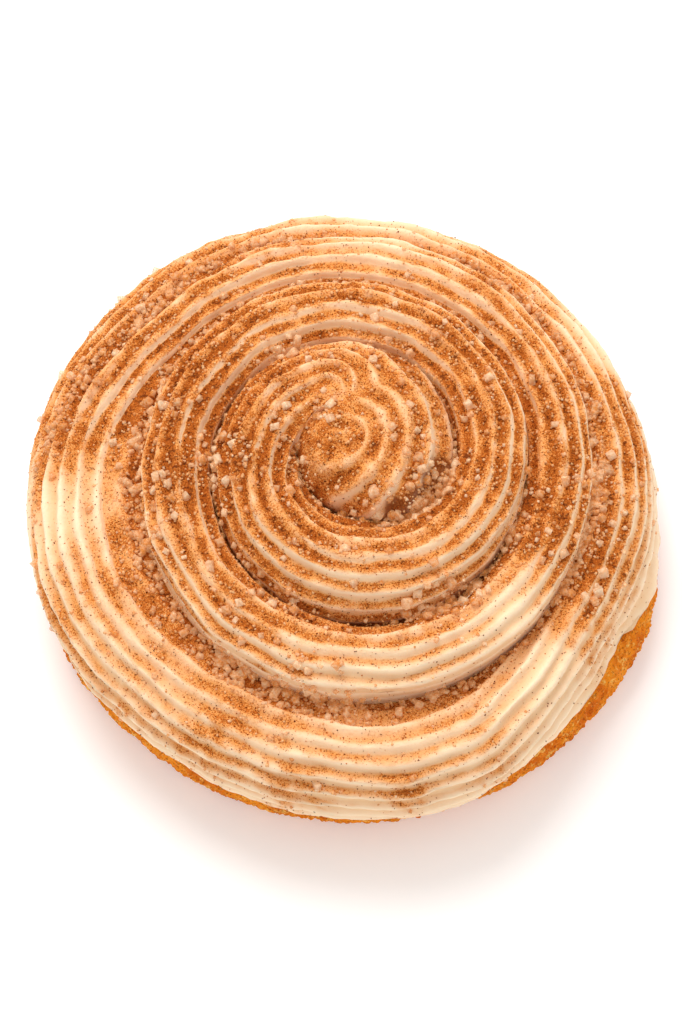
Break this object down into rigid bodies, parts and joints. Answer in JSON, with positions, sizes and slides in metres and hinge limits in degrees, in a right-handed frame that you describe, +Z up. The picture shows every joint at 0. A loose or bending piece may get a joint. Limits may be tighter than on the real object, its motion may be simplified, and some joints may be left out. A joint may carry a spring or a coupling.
{
  "type": "churro cookie",
  "caption": "Round churro-flavoured cookie topped with a ridged rope of icing piped in a spiral and dusted with coarse cinnamon sugar.",
  "frame": {"origin": "middle of the cookie's underside, on the surface that it rests on", "axes": "+Z up; +X to the right and -Y towards someone who sees the cookie's lower right edge show from under the icing"},
  "size_m": [0.1051, 0.1054, 0.0385],
  "materials": {
    "icing": "soft buttercream with cinnamon sugar",
    "cookie": "baked, rough and crumbly"
  },
  "bodies": {
    "root": {"icing": "icing", "cookie": "cookie"}
  },
  "joints": []
}
